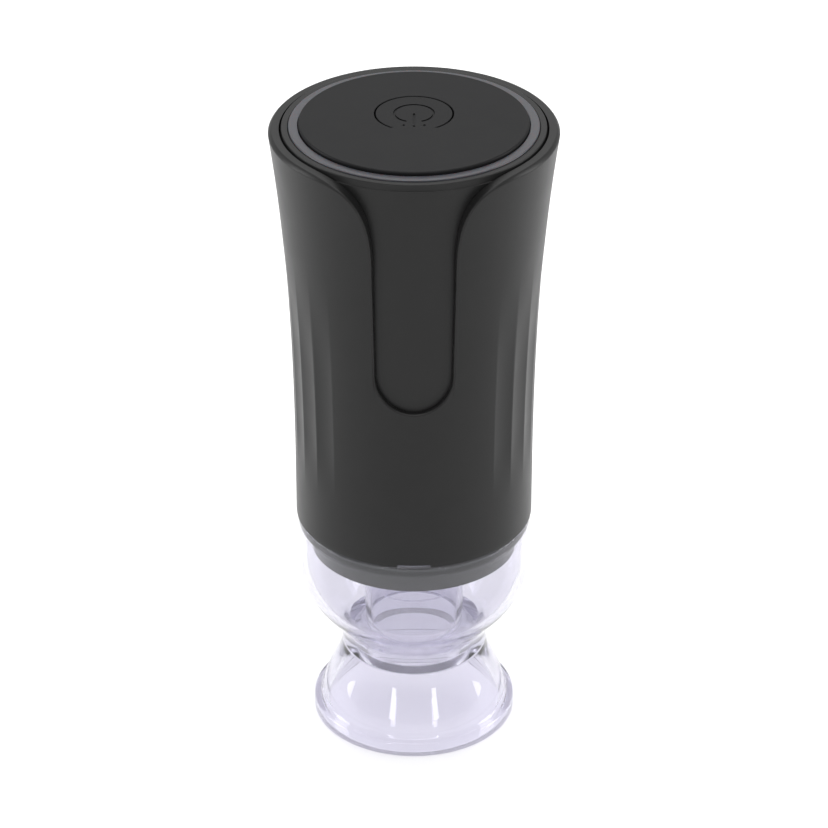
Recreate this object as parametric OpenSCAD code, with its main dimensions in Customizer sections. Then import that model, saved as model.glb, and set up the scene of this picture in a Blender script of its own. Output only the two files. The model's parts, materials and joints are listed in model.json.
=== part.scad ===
// Rechargeable electric wine opener: a flared black motor body standing on a clear, pull-off
// bottle collar. The origin is the centre of the foot, +Z runs up to the lid, the front is -Y.

/* [Body] */
// Height of the body's lower edge above the table
body_z = 67.3; // [67:0.1:67.6]
// Height of the flared body, from its lower edge to its rim
body_h = 120.7; // [120.2:0.1:121]
// Outer radius of the shell at its lower edge
shell_r = 33.7; // [33.6:0.1:34]
// How far the shell flares out at the rim
shell_flare = 6.2; // [6:0.1:6.4]
// Outer radius of the inner sleeve at its lower edge
sleeve_r = 32.1; // [32:0.05:32.2]
// How far the inner sleeve flares out at the rim
sleeve_flare = 4.6; // [4.4:0.1:4.7]
// Wall of the inner sleeve
sleeve_t = 1.6; // [1.4:0.1:1.7]

/* [Front window] */
// Half the width of the window's round lower end
window_r = 10.9; // [10:0.1:11.4]
// Height of the centre of that round end
window_z = 128.2; // [126:0.2:131]
// Half the width of the window where its shoulders start
window_neck = 11.5; // [11.4:0.1:12]
// Width of each shoulder
shoulder_w = 21.5; // [20:0.5:23]
// Height of each shoulder
shoulder_h = 30; // [26:1:34]
// Width of the finger notch in the shell's lower edge
notch_w = 9.4; // [8.6:0.2:10]

/* [Lid] */
// Radius of the lid disc
lid_r = 31.5; // [31.4:0.05:31.6]
// Thickness of the lid disc
lid_t = 2.4; // [2.2:0.1:2.5]
// Outer radius of the light ring
light_r = 34.25; // [34.1:0.05:34.3]
// Radius of the button's slot
button_r = 10.9; // [10.6:0.1:11]
// Distance of the button's centre behind the lid's centre
button_y = 4.5; // [4.3:0.1:4.7]
// Distance of the button's hinge line in front of its own centre
hinge_reach = 8.9; // [8.8:0.1:9]

/* [Bottle collar] */
// Outer radius of the bowl below its rim
bowl_r = 33.2; // [33:0.1:33.3]
// Wall of the bowl
bowl_t = 2.4; // [2.2:0.1:2.6]
// Outer radius of the waist
waist_r = 21.05; // [20.8:0.05:21.3]
// Height of the waist
waist_z = 25; // [24.5:0.5:26]
// Radius of the foot
foot_r = 29.4; // [29.2:0.1:29.8]
// Bore of the cork tube
cork_r = 12.7; // [12.6:0.05:12.8]
// Height of the face that a bottle's lip stops on
lip_z = 22; // [21.5:0.5:22.5]

/* [Drive] */
// Lead of the worm and of the thread that feeds it
lead = 9.5; // [9.4:0.1:9.5]
// Turns of the worm between its two stops
turns = 6; // [6:1:6]
// Outer radius of the worm
worm_r = 4.5; // [4.2:0.1:4.6]
// Radius of the worm's wire
wire_r = 1.4; // [1.3:0.1:1.4]
// Outer radius of the slotted drive tube
tube_r = 9; // [8.95:0.05:9]

/* [Gears] */
// Module of all the gear teeth
gear_m = 0.5; // [0.5:0.1:0.5]
// Teeth on each sun gear
sun_n = 9; // [9:1:9]
// Teeth on each planet gear
planet_n = 18; // [18:1:18]

/* [Hidden] */

round_fn = 96;
small_fn = 32;
rim_z = body_z + body_h;
fit = 0.05;

// Lid and board levels
lid_z = 190;
lid_under_z = lid_z - lid_t;
button_t = 1.4;
button_under_z = lid_z - button_t;
light_z = 189;
ledge_z = 186;
board_z = 183.8;
board_t = 1.2;
board_r = 31;
boss_az = [30, 150, 270];
boss_at = 30;

// Floor of the body
spigot_r = 29.1;
spigot_t = 2.1;
spigot_z = 57;
floor_z = 66.5;
floor_t = 2;
tray_z = floor_z + floor_t;
tray_t = 2.5;
lug_az = [45, 135, 225, 315];
lug_at = 24.5;
screw_r = 1.25;
thin_r = 1;

// Drive train levels
tube_bore_r = 7.3;
carriage_r = 7.2;
carriage_h = 7;
carriage_z = 126;
travel = lead * turns;
lug_r = 1.3;
lug_reach = 10.8;
lug_z = carriage_z + 3;
groove_w = 3.2;
groove_r = 11.1;
sleeve_bore_r = 9.15;
thread_r = 12.8;
thread_top = 130.8;
plate_z = 133.5;
out_plate_z = 135;
out_plate_t = 1.4;
stage2_z = 136.8;
stage2_h = 4;
mid_plate_z = 141.2;
mid_plate_t = 1.4;
stage1_z = 142.9;
stage1_h = 3.6;
cover_z = 147.6;
cover_t = 1.8;
motor_z = cover_z + cover_t;
motor_h = 30;
motor_r = 13.85;
shaft_r = 1;
worm_tip_z = 46;

// Gear geometry: 25 degree involutes with short teeth
ring_n = sun_n + 2 * planet_n;
mesh_r = gear_m * (sun_n + planet_n) / 2;
pressure = 25;
addendum = 0.8 * gear_m;
dedendum = 1.05 * gear_m;
flank_slack = 0.02;
pin_r = 1;

// Cells
cell_r = 7;
cell_h = 50;
cell_x = 20.6;
cell_z = 71.5;

// Charging socket, its board's screws and its two leads
socket_z = 83;
charge_screw_z = [76, 90];
lead_x = 6;
lead_y = 26.6;

function polar(r, a) = [r * cos(a), r * sin(a)];
function arc(x, y, r, a0, a1, n) = [for (i = [0:n]) [x, y] + polar(r, a0 + (a1 - a0) * i / n)];
function bezier(p, n) = [for (i = [0:n]) let (t = i / n, s = 1 - t)
    s * s * s * p[0] + 3 * s * s * t * p[1] + 3 * s * t * t * p[2] + t * t * t * p[3]];
function rise(z) = max(z - body_z, 0) / body_h;
function shell_at(z) = shell_r + shell_flare * pow(rise(z), 2.77);
function sleeve_at(z) = sleeve_r + sleeve_flare * pow(rise(z), 2.5);

module ring(r0, r1, z, h, fn = round_fn) {
    translate([0, 0, z])
        difference() {
            cylinder(h = h, r = r1, $fn = fn);
            translate([0, 0, -1]) cylinder(h = h + 2, r = r0, $fn = fn);
        }
}

module disc(r, z, h, fn = round_fn) {
    translate([0, 0, z]) cylinder(h = h, r = r, $fn = fn);
}

module spaced(angles, at) {
    for (a = angles) rotate([0, 0, a]) translate([at, 0, 0]) children();
}

module slab(x, y, z, at) {
    translate(at - [x / 2, y / 2, 0]) cube([x, y, z]);
}

// A pan-head screw standing on its tip, its head's underside at z
module screw(r, z, length, head_r, head_h) {
    translate([0, 0, z - length]) cylinder(h = length + head_h / 2, r = r, $fn = small_fn);
    translate([0, 0, z]) cylinder(h = head_h, r = head_r, $fn = small_fn);
}

/* ---- Outer body ---- */

module window_outline() {
    corner_x = window_neck + shoulder_w;
    corner_z = rim_z - shoulder_h;
    translate([0, window_z]) circle(r = window_r, $fn = 64);
    polygon(concat(
        [[-window_r, window_z], [window_r, window_z]],
        [for (i = [0:16]) let (a = 90 * i / 16)
            [corner_x - shoulder_w * pow(cos(a), 2 / 3), corner_z + shoulder_h * pow(sin(a), 2 / 3)]],
        [[corner_x, rim_z + 5], [-corner_x, rim_z + 5]],
        [for (i = [16:-1:0]) let (a = 90 * i / 16)
            [shoulder_w * pow(cos(a), 2 / 3) - corner_x, corner_z + shoulder_h * pow(sin(a), 2 / 3)]]));
}

// The stadium-shaped way for the charging plug, from the middle outwards at the rear
module plug_way(w, h) {
    translate([0, 20, socket_z])
        rotate([-90, 0, 0]) {
            slab(w - h, h, 20, [0, 0, 0]);
            for (s = [-1, 1])
                translate([s * (w - h) / 2, 0, 0]) cylinder(h = 20, r = h / 2, $fn = small_fn);
        }
}

module outer_shell() {
    edge = 1.2;
    color("#2b2b2d")
        difference() {
            rotate_extrude($fn = round_fn)
                polygon(concat(
                    [for (i = [0:24]) let (z = body_z + (body_h - edge) * i / 24) [shell_at(z), z]],
                    arc(shell_at(rim_z - edge) - edge, rim_z - edge, edge, 15, 90, 5),
                    [for (i = [24:-1:0]) let (z = body_z + body_h * i / 24) [sleeve_at(z) + 0.1, z]]));
            rotate([90, 0, 0]) linear_extrude(height = 60) window_outline();
            slab(notch_w, 10, 0.7 + 1, [0, -shell_r, body_z - 1]);
            plug_way(10.4, 4.6);
        }
}

module inner_sleeve() {
    top = 188.6;
    color("#303032") {
        difference() {
            union() {
                rotate_extrude($fn = round_fn)
                    polygon(concat(
                        [for (i = [0:20]) let (z = body_z + (rim_z - body_z) * i / 20) [sleeve_at(z), z]],
                        [[sleeve_at(rim_z) - 0.2, top], [light_r + 0.1, top], [light_r + 0.1, ledge_z],
                            [33.2, ledge_z], [33.2, ledge_z - 1.2]],
                        [for (i = [19:-1:0]) let (z = body_z + (ledge_z - 3 - body_z) * i / 19)
                            [sleeve_at(z) - sleeve_t, z]]));
                // bosses for the board and the top bracket
                spaced(boss_az, boss_at) {
                    disc(2.6, 172, 9.8, small_fn);
                    slab(5, 3, 9.8, [2.5, 0, 172]);
                }
                // lugs for the base screws
                spaced(lug_az, lug_at) {
                    disc(3, tray_z + tray_t, 8, small_fn);
                    slab(6.8, 4, 8, [3.4, 0, tray_z + tray_t]);
                }
            }
            spaced(boss_az, boss_at) disc(screw_r, 174, 10, small_fn);
            spaced(lug_az, lug_at) disc(screw_r, tray_z, 10, small_fn);
            plug_way(10, 4.2);
        }
    }
}

module base_collar() {
    color("#4a4c49")
        difference() {
            union() {
                ring(spigot_r - spigot_t, spigot_r, spigot_z, floor_z - spigot_z + 1);
                disc(spigot_r, floor_z, floor_t);
                disc(30.3, body_z + 0.2, tray_z - body_z - 0.2);
            }
            disc(6.5, floor_z - 1, floor_t + 2, small_fn);
            spaced(lug_az, lug_at) {
                disc(screw_r + fit, floor_z - 1, floor_t + 2, small_fn);
                disc(2.5, floor_z - 1, 2.1, small_fn);
            }
        }
}

/* ---- Lid ---- */

module light_ring() {
    color("#a9a6c4")
        rotate_extrude($fn = round_fn)
            polygon([[28.5, ledge_z], [light_r, ledge_z], [light_r, light_z - 0.3],
                [light_r - 0.3, light_z], [lid_r + 0.2, light_z], [lid_r + 0.2, lid_under_z],
                [28.5, lid_under_z]]);
}

// The button's plan: a disc cut off along the hinge line
module button_plan(r) {
    intersection() {
        translate([0, button_y]) circle(r = r, $fn = 64);
        translate([-20, button_y - hinge_reach]) square([40, 40]);
    }
}

module top_cap() {
    edge = 0.5;
    color("#343436")
        difference() {
            rotate_extrude($fn = round_fn)
                polygon(concat([[0, lid_under_z], [lid_r, lid_under_z]],
                    arc(lid_r - edge, lid_z - edge, edge, 0, 90, 4), [[0, lid_z]]));
            translate([0, 0, lid_under_z - 1]) linear_extrude(height = lid_t + 2) button_plan(button_r);
        }
}

module power_button() {
    icon_r = 5.4;
    stroke = 0.6;
    depth = 0.25;
    color("#38383a")
        difference() {
            union() {
                translate([0, 0, button_under_z])
                    linear_extrude(height = button_t) button_plan(button_r - 0.25);
                translate([0, button_y, 187.35]) cylinder(h = 1.5, r = 0.8, $fn = small_fn);
            }
            // the power symbol: a ring open to the front, and a bar through its gap
            translate([0, button_y, lid_z - depth])
                difference() {
                    ring(icon_r - stroke / 2, icon_r + stroke / 2, 0, 1, 64);
                    slab(4, 8, 3, [0, -icon_r, -1]);
                }
            slab(stroke, 6.6, 1, [0, button_y - 3.5, lid_z - depth]);
            // windows for the three indicator lights
            for (a = [-20.5, 0, 20.5])
                translate([0, button_y, 0])
                    rotate([0, 0, a - 90]) translate([7.9, 0, 0]) disc(0.35, 188, 3, 16);
        }
}

module tact_switch() {
    color("#1c1c1e")
        difference() {
            slab(6, 6, 1.6, [0, button_y, board_z + board_t]);
            translate([0, button_y, 0]) disc(1.68, board_z + board_t + 0.4, 3, small_fn);
        }
}

module switch_plunger() {
    color("#d8d8d2") translate([0, button_y, 0]) disc(1.6, board_z + board_t + 0.8, 1.5, small_fn);
}

module ring_leds() {
    color("#f2efe2")
        spaced([for (i = [0:11]) 15 + 30 * i], 29.6) slab(1.6, 2.8, 0.7, [0, 0, board_z + board_t]);
}

module indicator_leds() {
    color("#dfe8f5")
        for (x = [-2.8, 0, 2.8]) slab(0.8, 1.4, 0.6, [x, button_y - 7.6, board_z + board_t]);
}

module control_board() {
    color("#1f5c3a")
        difference() {
            disc(board_r, board_z, board_t);
            spaced(boss_az, boss_at) disc(screw_r + fit, board_z - 1, 3, small_fn);
            for (s = [-1, 1]) slab(0.8, 2.8, 3, [8.5 * s, 0, board_z - 1]);
        }
}

module board_components() {
    top = board_z + board_t;
    color("#26282b") {
        slab(7, 5, 1.5, [-14, 10, top]);
        slab(5, 5, 1.2, [13, 12, top]);
        slab(6, 6, 1.9, [15, -10, top]);
        slab(4, 6, 1.1, [-15, -9, top]);
        for (i = [0:4]) slab(0.9, 1.8, 0.6, [-8 + 4 * i, -17, top]);
        for (i = [0:3]) slab(1.8, 0.9, 0.6, [-9 + 6 * i, 20, top]);
    }
}

/* ---- Frame and cells ---- */

module battery_tray() {
    color("#5b5e62")
        difference() {
            union() {
                disc(30.3, tray_z, tray_t);
                intersection() {
                    for (s = [-1, 1]) slab(17, 18, 11, [s * 21.5, 0, tray_z + tray_t - 1]);
                    disc(29.3, tray_z, 20);
                }
            }
            disc(thread_r + fit, tray_z - 1, 20);
            disc(15 + fit, tray_z - 1, 2.5);
            for (s = [-1, 1]) translate([s * cell_x, 0, 0]) disc(cell_r + 0.1, tray_z + tray_t, 20);
            spaced(lug_az, lug_at) disc(screw_r + fit, tray_z - 1, 5, small_fn);
        }
}

module cell(s) {
    translate([s * cell_x, 0, cell_z]) {
        cylinder(h = cell_h - 1, r = cell_r, $fn = 64);
        translate([0, 0, cell_h - 1.5]) cylinder(h = 1.5, r = 2.8, $fn = small_fn);
    }
}

module battery_left() {
    color("#3f7fbf") cell(-1);
}

module battery_right() {
    color("#3f7fbf") cell(1);
}

// Nickel straps: one under each cell, one on each cap with a tail for its lead
module cell_straps() {
    color("#c9c9c6")
        for (s = [-1, 1]) {
            translate([s * cell_x, 0, tray_z + tray_t]) cylinder(h = 0.5, r = 5, $fn = small_fn);
            slab(9, 3, 0.5, [s * (cell_x + 1.5), 0, cell_z + cell_h]);
        }
}

module spine_frame() {
    base = tray_z + tray_t;
    top = 131;
    color("#5b5e62")
        difference() {
            union() {
                for (s = [-1, 1]) {
                    slab(9, 5, top - base - 1, [0, s * 19.5, base]);
                    slab(16, 7, 3, [0, s * 18.5, base]);
                }
                disc(28.6, 108, 2);
                disc(21.5, 128, 3);
                spaced(lug_az, 18.3) disc(2.6, 121, 8, small_fn);
                for (z = charge_screw_z) slab(6, 4, 4, [0, 22.6, z - 2]);
            }
            disc(thread_r + fit, base - 1, 70);
            for (s = [-1, 1]) translate([s * cell_x, 0, 0]) disc(cell_r + 0.2, 100, 25);
            spaced(lug_az, 18.3) disc(thin_r, 122, 10, small_fn);
            for (s = [-1, 1]) slab(2.2, 6, 4, [lead_x * s, lead_y + 1.6, 107]);
            for (z = charge_screw_z)
                translate([0, 18, z]) rotate([-90, 0, 0]) cylinder(h = 8, r = thin_r, $fn = small_fn);
        }
}

/* ---- Charging ---- */

module usb_port() {
    color("#b9bcc0")
        translate([0, 25.8, socket_z])
            rotate([-90, 0, 0])
                difference() {
                    linear_extrude(height = 7.2) plug_plan(9, 3.2);
                    translate([0, 0, 0.8]) linear_extrude(height = 8) plug_plan(8.3, 2.5);
                }
}

module plug_plan(w, h) {
    square([w - h, h], center = true);
    for (s = [-1, 1]) translate([s * (w - h) / 2, 0]) circle(r = h / 2, $fn = small_fn);
}

module charge_board() {
    color("#1f5c3a")
        difference() {
            slab(16, 1.2, 20, [0, 25.2, 73]);
            for (z = charge_screw_z)
                translate([0, 20, z])
                    rotate([-90, 0, 0]) cylinder(h = 8, r = thin_r + fit, $fn = small_fn);
        }
}

module charge_screws() {
    color("#8d8f93")
        for (z = charge_screw_z)
            translate([0, 25.8, z]) rotate([-90, 0, 0]) screw(thin_r, 0, 5, 1.8, 1);
}

module battery_leads() {
    color("#b3262a")
        for (s = [-1, 1]) translate([s * 23.6, 0, cell_z + cell_h + 0.5])
            cylinder(h = board_z - cell_z - cell_h - 0.5, r = 0.8, $fn = 16);
}

module charge_leads() {
    color("#222224")
        for (s = [-1, 1]) translate([s * lead_x, lead_y, 0]) disc(0.75, 92, board_z - 92, 16);
}

/* ---- Gearbox ---- */

function inv(a) = tan(a) * 180 / PI - a;

// Half the angle that a tooth takes at radius r; slack is taken off each flank at the pitch circle
function half_tooth(n, r, slack) = let (pitch = gear_m * n / 2, base = pitch * cos(pressure))
    90 / n - slack / pitch * 180 / PI + inv(pressure) - inv(acos(min(1, base / max(r, base))));

function flank_radii(n, root, tip) = let (start = max(root, gear_m * n / 2 * cos(pressure)))
    concat(root < start ? [root] : [], [for (i = [0:3]) start + (tip - start) * pow(i / 3, 1.5)]);

// Outline of n involute teeth between two radii, with a tooth on the X axis when phase is 0
function teeth(n, root, tip, slack, phase) =
    let (radii = flank_radii(n, root, tip), last = len(radii) - 1)
    [for (k = [0:n - 1], i = [0:2 * last + 1])
        let (r = radii[i <= last ? i : 2 * last + 1 - i], side = i <= last ? -1 : 1)
        polar(r, 360 * k / n + phase + side * half_tooth(n, r, slack))];

module spur(n, phase) {
    pitch = gear_m * n / 2;
    polygon(teeth(n, pitch - dedendum, pitch + addendum, flank_slack, phase));
}

module ring_teeth() {
    pitch = gear_m * ring_n / 2;
    polygon(teeth(ring_n, pitch - addendum, pitch + dedendum, -flank_slack, 0));
}

module planet(z, h, at) {
    rotate([0, 0, at])
        translate([mesh_r, 0, z])
            difference() {
                linear_extrude(height = h) spur(planet_n, 0);
                translate([0, 0, -1]) cylinder(h = h + 2, r = pin_r + fit, $fn = small_fn);
            }
}

module first_planet(k) {
    color("#d9d6cc") planet(stage1_z, stage1_h, 120 * k);
}

module second_planet(k) {
    color("#b8a77a") planet(stage2_z, stage2_h, 120 * k);
}

module sun_pinion() {
    color("#c8a44a")
        translate([0, 0, stage1_z])
            difference() {
                linear_extrude(height = stage1_h + 0.5) spur(sun_n, 180 / sun_n);
                translate([0, 0, -1]) cylinder(h = 9, r = shaft_r, $fn = small_fn);
            }
}

module first_carrier() {
    color("#9b9da1") {
        difference() {
            union() {
                disc(10.3, mid_plate_z, mid_plate_t);
                spaced([0, 120, 240], mesh_r)
                    disc(pin_r, mid_plate_z, mid_plate_t + stage1_h + 0.6, small_fn);
            }
            disc(1.3, mid_plate_z + 0.8, 2, small_fn);
        }
        translate([0, 0, stage2_z])
            linear_extrude(height = mid_plate_z - stage2_z + 0.4) spur(sun_n, 180 / sun_n);
    }
}

module output_carrier() {
    color("#9b9da1") {
        disc(11.6, out_plate_z, out_plate_t);
        spaced([0, 120, 240], mesh_r) disc(pin_r, out_plate_z, mid_plate_z - out_plate_z - 0.2, small_fn);
    }
}

module gear_housing() {
    base = 131;
    color("#6a6d72")
        difference() {
            union() {
                disc(21.5, base, 2.2);
                disc(14.6, base, cover_z - base);
                spaced(lug_az, 16.2) disc(2.3, cover_z - 9, 9, small_fn);
            }
            disc(10.6, base - 1, 5);
            disc(12.2, base + 2.2, 3.25);
            translate([0, 0, stage2_z - 0.6]) linear_extrude(height = 20) ring_teeth();
            spaced(lug_az, 18.3) disc(thin_r + fit, base - 1, 4, small_fn);
            spaced(lug_az, 16.2) disc(thin_r, cover_z - 8, 9, small_fn);
        }
}

module output_bush() {
    color("#b08d57") ring(tube_r + fit, 10.6, 131, 3.6);
}

module gearbox_cover() {
    color("#8a8d92")
        difference() {
            union() {
                disc(14.6, cover_z, cover_t);
                spaced(lug_az, 16.2) disc(2.3, cover_z, cover_t, small_fn);
            }
            disc(5 + fit, cover_z - 1, 4);
            spaced(lug_az, 16.2) disc(thin_r + fit, cover_z - 1, 4, small_fn);
            spaced([0, 180], 8) {
                disc(thin_r + fit, cover_z - 1, 4, small_fn);
                translate([0, 0, cover_z]) cylinder(h = 1.2, r1 = 2.3, r2 = thin_r + fit, $fn = small_fn);
            }
        }
}

module gearbox_screws() {
    color("#8d8f93") spaced(lug_az, 16.2) screw(thin_r, cover_z + cover_t, 8, 1.9, 1.2);
}

module flange_screws() {
    color("#8d8f93") spaced(lug_az, 18.3) screw(thin_r, 133.2, 9, 1.7, 1.2);
}

module motor_screws() {
    color("#8d8f93")
        spaced([0, 180], 8) {
            disc(thin_r, cover_z, 4.4, small_fn);
            translate([0, 0, cover_z]) cylinder(h = 1.15, r1 = 2.2, r2 = thin_r, $fn = small_fn);
        }
}

/* ---- Motor ---- */

module motor_can() {
    color("#b4b6b9")
        difference() {
            union() {
                disc(motor_r, motor_z, motor_h);
                disc(5, cover_z + 0.2, cover_t);
            }
            disc(motor_r - 1, motor_z + 1.6, motor_h);
            disc(3, cover_z - 1, 6, small_fn);
            spaced([0, 180], 8) disc(thin_r, motor_z - 1, 4, small_fn);
        }
}

module motor_bearings() {
    color("#b08d57") {
        ring(shaft_r + 0.03, 3, cover_z + 0.2, 4.6, small_fn);
        ring(shaft_r + 0.03, 3, motor_z + motor_h - 1.4, 3, small_fn);
    }
}

module motor_magnets() {
    color("#3a3a3e")
        difference() {
            ring(10.8, motor_r - 1 - fit, 154, 20);
            for (s = [-1, 1]) slab(9, 30, 30, [0, s * 15, 150]);
        }
}

module motor_endcap() {
    top = motor_z + motor_h;
    color("#e3e0d6")
        difference() {
            union() {
                disc(motor_r - 1, top - 3, 3);
                disc(motor_r, top, 1);
                disc(4.5, top, 2.4, small_fn);
            }
            disc(3, top - 4, 5.6, small_fn);
            for (s = [-1, 1]) slab(0.5, 2.4, 8, [8.5 * s, 0, top - 4]);
        }
}

module motor_terminals() {
    color("#c9a35a") for (s = [-1, 1]) slab(0.5, 2.4, 9.4, [8.5 * s, 0, motor_z + motor_h - 3]);
}

module motor_shaft() {
    color("#c2c4c8") disc(shaft_r, stage1_z, motor_z + motor_h + 1 - stage1_z, small_fn);
}

module armature_core() {
    color("#6f7276")
        difference() {
            disc(10.3, 157, 13);
            disc(shaft_r, 150, 30, small_fn);
            spaced([for (i = [0:4]) 72 * i + 36], 8) {
                disc(2.4, 150, 30, small_fn);
                slab(4, 1.2, 30, [2, 0, 150]);
            }
        }
}

module armature_windings() {
    color("#b5622b")
        for (z = [154.2, 170], i = [0:4])
            rotate([0, 0, 72 * i]) translate([6, 0, z]) cylinder(h = 2.8, r = 2.9, $fn = small_fn);
}

module commutator() {
    color("#c77b3c") ring(shaft_r, 2.9, 173.2, 3, small_fn);
}

module top_bracket() {
    color("#5b5e62")
        difference() {
            union() {
                disc(17, 174, 9.8);
                spaced(boss_az, 22) slab(20, 6, 2, [1, 0, board_z - 2]);
            }
            disc(motor_r + fit, 170, 30);
            spaced(boss_az, boss_at) disc(screw_r + fit, board_z - 3, 4, small_fn);
        }
}

module board_screws() {
    color("#8d8f93") spaced(boss_az, boss_at) screw(screw_r, board_z + board_t, 9, 2.2, 0.9);
}

module base_screws() {
    color("#8d8f93")
        spaced(lug_az, lug_at) {
            disc(2.3, floor_z + 0.1, 1, small_fn);
            disc(screw_r, floor_z + 0.1, 11, small_fn);
        }
}

/* ---- Feed of the worm ---- */

// A square-sided helical ridge, one ring of four corners every 18 degrees
module helix_ridge(r0, r1, w, z0, z1) {
    n = 20;
    first = ceil((z0 - lug_z) / lead * n);
    last = floor((z1 - lug_z) / lead * n);
    points = [for (i = [first:last]) for (c = [[r0, -w / 2], [r1, -w / 2], [r1, w / 2], [r0, w / 2]])
        [c[0] * cos(360 * i / n), c[0] * sin(360 * i / n), lug_z + lead * i / n + c[1]]];
    sides = [for (i = [0:last - first - 1]) for (k = [0:3])
        [4 * i + k, 4 * i + (k + 1) % 4, 4 * i + 4 + (k + 1) % 4, 4 * i + 4 + k]];
    ends = [[3, 2, 1, 0], [for (k = [0:3]) 4 * (last - first) + k]];
    polyhedron(points, concat(ends, sides), convexity = 10);
}

module thread_sleeve() {
    color("#d5d2c6")
        difference() {
            union() {
                disc(thread_r, tray_z, thread_top - tray_z);
                disc(15, tray_z, 1.5);
            }
            disc(sleeve_bore_r, tray_z - 1, 80);
            for (s = [0, 180])
                rotate([0, 0, s]) helix_ridge(8.8, groove_r, groove_w, tray_z + 2, thread_top + 4);
        }
}

module drive_tube() {
    color("#a7a9ad")
        difference() {
            disc(tube_r, tray_z + 0.3, out_plate_z - tray_z - 0.3);
            disc(tube_bore_r, tray_z - 1, plate_z - tray_z + 1);
            slab(30, 2 * lug_r + 0.2, travel + 2 * lug_r + 0.4, [0, 0, lug_z - travel - lug_r - 0.2]);
        }
}

module worm_carriage() {
    color("#46494e")
        difference() {
            union() {
                disc(carriage_r, carriage_z, carriage_h, 64);
                translate([-lug_reach, 0, lug_z])
                    rotate([0, 90, 0]) cylinder(h = 2 * lug_reach, r = lug_r, $fn = small_fn);
            }
            disc(1.9, carriage_z - 1, carriage_h, small_fn);
        }
}

// Centre line of the worm: a straight shank on the axis that swings out into a right-handed helix
worm_top = carriage_z + carriage_h - 1;
swing_z = 114;
swing_h = 7;
function ease(t) = t * t * (3 - 2 * t);
function coil_r(z) = (worm_r - wire_r) * ease(min(1, max(0, (swing_z - z) / swing_h)));
function wire_at(z) = let (a = 360 * (z - worm_tip_z) / lead)
    [coil_r(z) * cos(a), coil_r(z) * sin(a), z];
// The wire tapers to a point over its last turn
function thickness(z) = wire_r * min(1, 0.12 + 0.88 * pow(max(0, z - worm_tip_z) / (0.9 * lead), 0.7));

module corkscrew_worm() {
    sides = 10;
    step = lead / 24;
    levels = concat([worm_top, 120], [for (z = [swing_z:-step:worm_tip_z]) z], [worm_tip_z]);
    frames = [for (z = levels) let (
        d = wire_at(z - 0.05) - wire_at(z + 0.05), t = d / norm(d),
        a = 360 * (z - worm_tip_z) / lead, out = [cos(a), sin(a), 0],
        u = out - (out * t) * t, e = u / norm(u))
        [wire_at(z), e, cross(t, e), thickness(z) * (z > swing_z ? 1.3 : 1)]];
    points = [for (f = frames) for (k = [0:sides - 1])
        f[0] + f[3] * (cos(360 * k / sides) * f[1] + sin(360 * k / sides) * f[2])];
    last = len(frames) - 1;
    walls = [for (i = [0:last - 1]) for (k = [0:sides - 1]) let (n = (k + 1) % sides)
        each [[sides * i + k, sides * i + n, sides * (i + 1) + n],
            [sides * i + k, sides * (i + 1) + n, sides * (i + 1) + k]]];
    caps = [[for (k = [sides - 1:-1:0]) k], [for (k = [0:sides - 1]) sides * last + k]];
    color("#c4c6ca") polyhedron(points, concat(caps, walls), convexity = 10);
}

/* ---- Bottle collar ---- */

module bottle_collar() {
    rim = body_z - 0.3;
    rim_low = rim - 3.2;
    tube_t = 1.5;
    tube_top = floor_z - 0.3;
    valley_z = 29;
    bend_z = 35.4;
    outside = concat(
        [[33.4, rim], [33.4, rim_low + 0.3], [bowl_r + 0.1, rim_low]],
        bezier([[bowl_r, 53], [bowl_r, bend_z], [waist_r, bend_z], [waist_r, waist_z]], 18),
        bezier([[waist_r, waist_z], [waist_r, 18], [25, 14], [26.5, 7.5]], 12),
        [[27.3, 5.4], [28.2, 4.6]], arc(foot_r - 1.2, 3.2, 1.2, 70, 0, 4),
        [[foot_r, 0.9], [foot_r - 0.9, 0]]);
    inside = concat(
        [[26.2, 0], [24.4, 3]],
        bezier([[24.4, 3], [23.2, 9], [19.2, 15], [18.8, lip_z]], 10),
        [[cork_r, lip_z], [cork_r, 43.4], [cork_r - 0.4, 43.6], [cork_r - 0.4, tube_top],
            [cork_r + tube_t, tube_top], [cork_r + tube_t, valley_z + 2]],
        arc(cork_r + tube_t + 2, valley_z + 2, 2, 180, 270, 4),
        bezier([[18.4, valley_z + 0.4], [24.5, 34], [bowl_r - bowl_t, 40], [bowl_r - bowl_t, 53]], 12),
        [[bowl_r - bowl_t, rim_low - 0.4], [spigot_r + 0.08, rim_low], [spigot_r + 0.08, rim]]);
    color("#d6d4de", 0.35) {
        rotate_extrude($fn = round_fn) polygon(concat(outside, inside));
        // the tab that fills the shell's finger notch
        translate([0, 0, rim - 0.5])
            intersection() {
                ring(32.2, 33.4, 0, 1.3);
                slab(notch_w - 0.4, 10, 1.3, [0, -33, 0]);
            }
    }
}

outer_shell();
inner_sleeve();
base_collar();
light_ring();
top_cap();
control_board();
board_components();
tact_switch();
ring_leds();
indicator_leds();
battery_left();
battery_right();
cell_straps();
battery_tray();
spine_frame();
thread_sleeve();
output_bush();
gear_housing();
gearbox_cover();
motor_can();
motor_bearings();
motor_magnets();
motor_endcap();
motor_terminals();
top_bracket();
usb_port();
charge_board();
battery_leads();
charge_leads();
base_screws();
board_screws();
flange_screws();
gearbox_screws();
motor_screws();
charge_screws();
power_button();
switch_plunger();
motor_shaft();
sun_pinion();
armature_core();
armature_windings();
commutator();
first_planet(0);  // first_planet_1
first_planet(1);  // first_planet_2
first_planet(2);  // first_planet_3
first_carrier();
second_planet(0);  // second_planet_1
second_planet(1);  // second_planet_2
second_planet(2);  // second_planet_3
output_carrier();
drive_tube();
worm_carriage();
corkscrew_worm();
bottle_collar();
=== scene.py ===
"""Looks of a cordless wine opener: black moulded body, lit lid, clear polycarbonate bottle collar."""
import json

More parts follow.
